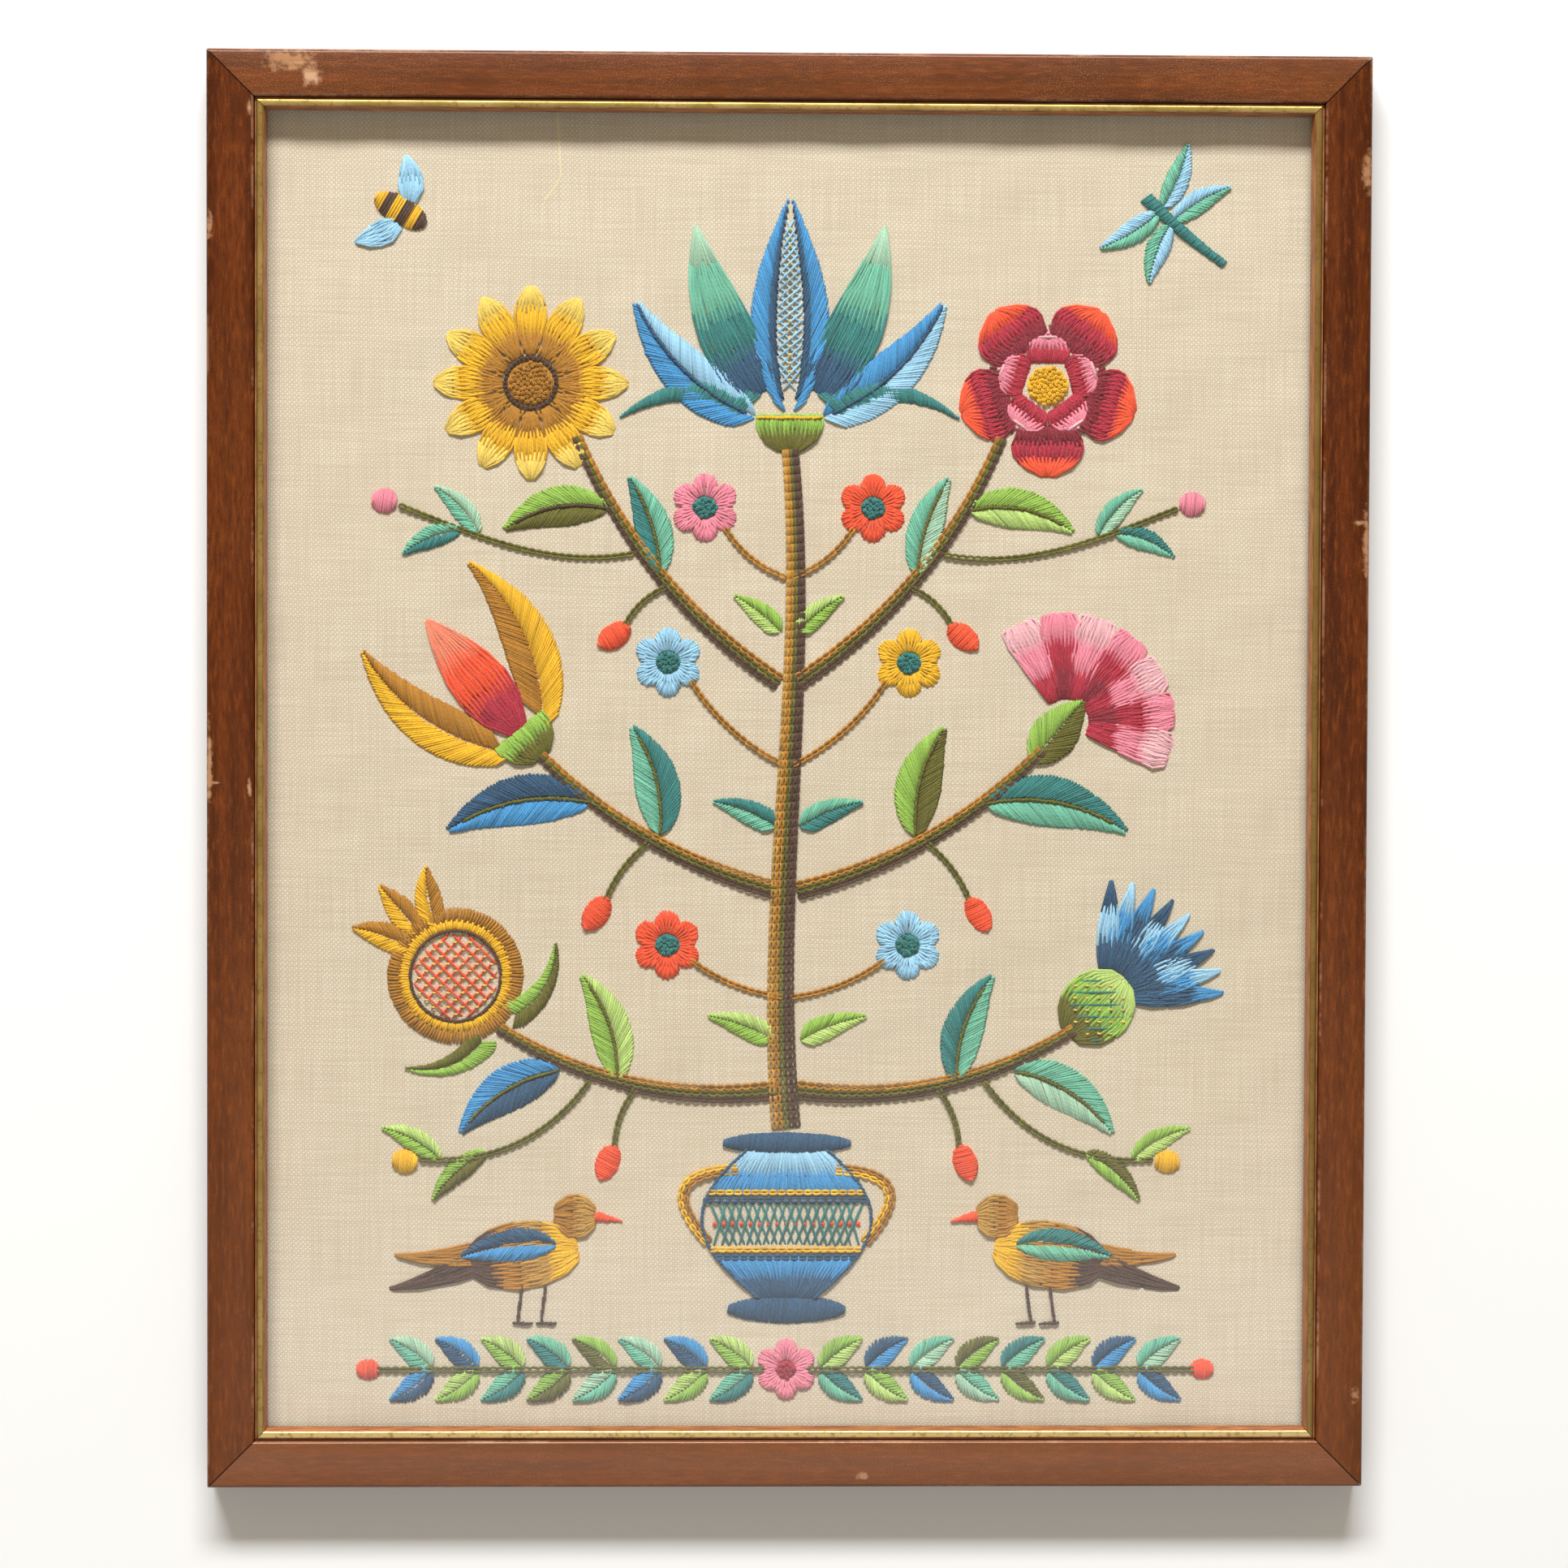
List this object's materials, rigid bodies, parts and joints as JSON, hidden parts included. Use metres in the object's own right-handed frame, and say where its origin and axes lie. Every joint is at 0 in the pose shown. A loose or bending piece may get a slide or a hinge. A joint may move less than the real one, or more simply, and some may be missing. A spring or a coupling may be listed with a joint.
{
  "type": "crewel embroidery panel in a mitred wooden picture frame with a gilt slip and glass",
  "caption": "Wool crewel embroidery of flowers, leaves and birds on linen, behind glass in a mitred hardwood frame with a gilt inner slip.",
  "frame": {"origin": "middle of the back face of the frame, on the surface it lies on", "axes": "+X to the picture's right, +Y to its upper edge, +Z out of its face"},
  "size_m": [0.4404, 0.5444, 0.02],
  "materials": {
    "wood": "stained and polished, worn at the arrises",
    "gilt": "burnished gilt over wood",
    "glass": "clear",
    "linen": "plain weave, undyed",
    "board": "matt",
    "yarn_pale_blue": "twisted wool crewel yarn",
    "yarn_sky": "twisted wool crewel yarn",
    "yarn_gold": "twisted wool crewel yarn",
    "yarn_pink": "twisted wool crewel yarn",
    "yarn_crimson": "twisted wool crewel yarn",
    "yarn_ochre": "twisted wool crewel yarn",
    "yarn_coral": "twisted wool crewel yarn",
    "yarn_leaf_green": "twisted wool crewel yarn",
    "yarn_teal": "twisted wool crewel yarn",
    "yarn_sea_green": "twisted wool crewel yarn",
    "yarn_brown": "twisted wool crewel yarn",
    "yarn_navy": "twisted wool crewel yarn",
    "yarn_olive": "twisted wool crewel yarn"
  },
  "bodies": {
    "root": {"rail_bottom": "wood", "gilt_slip_bottom": "gilt", "rail_right": "wood", "gilt_slip_right": "gilt", "rail_top": "wood", "gilt_slip_top": "gilt", "rail_left": "wood", "gilt_slip_left": "gilt", "glass_pane": "glass", "linen_panel": "linen", "mount_board": "board", "palmette_heart": "yarn_pale_blue", "palmette_fan": "yarn_sky", "rose_heart": "yarn_gold", "rose_inner": "yarn_pink", "rose_outer": "yarn_crimson", "daisy_heart": "yarn_ochre", "daisy_rays": "yarn_gold", "tulip_heart": "yarn_coral", "tulip_cup": "yarn_gold", "carnation_calyx": "yarn_leaf_green", "carnation_frill": "yarn_pink", "pomegranate_heart": "yarn_coral", "pomegranate_rind": "yarn_ochre", "thistle_bulb": "yarn_leaf_green", "thistle_tuft": "yarn_sky", "small_flower_low_left": "yarn_coral", "small_flower_low_right": "yarn_pale_blue", "small_flower_mid_left": "yarn_pale_blue", "small_flower_mid_right": "yarn_gold", "small_flower_high_left": "yarn_pink", "small_flower_high_right": "yarn_coral", "berry_low_right": "yarn_coral", "berry_mid_right": "yarn_coral", "berry_high_right": "yarn_coral", "berry_low_left": "yarn_coral", "berry_mid_left": "yarn_coral", "berry_high_left": "yarn_coral", "urn": "yarn_sky", "bird_left_wing": "yarn_sky", "bird_left_body": "yarn_ochre", "bird_right_wing": "yarn_teal", "bird_right_body": "yarn_ochre", "garland": "yarn_sea_green", "stems": "yarn_brown", "leaf_low_upper_right": "yarn_teal", "leaf_low_upper_left": "yarn_leaf_green", "leaf_low_under_right": "yarn_sea_green", "leaf_low_under_left": "yarn_navy", "leaf_mid_upper_right": "yarn_leaf_green", "leaf_mid_upper_left": "yarn_sea_green", "leaf_mid_under_right": "yarn_teal", "leaf_mid_under_left": "yarn_sky", "leaf_high_upper_right": "yarn_sea_green", "leaf_high_upper_left": "yarn_teal", "leaf_high_under_right": "yarn_leaf_green", "leaf_high_under_left": "yarn_olive", "bee": "yarn_gold", "dragonfly": "yarn_teal"}
  },
  "joints": []
}
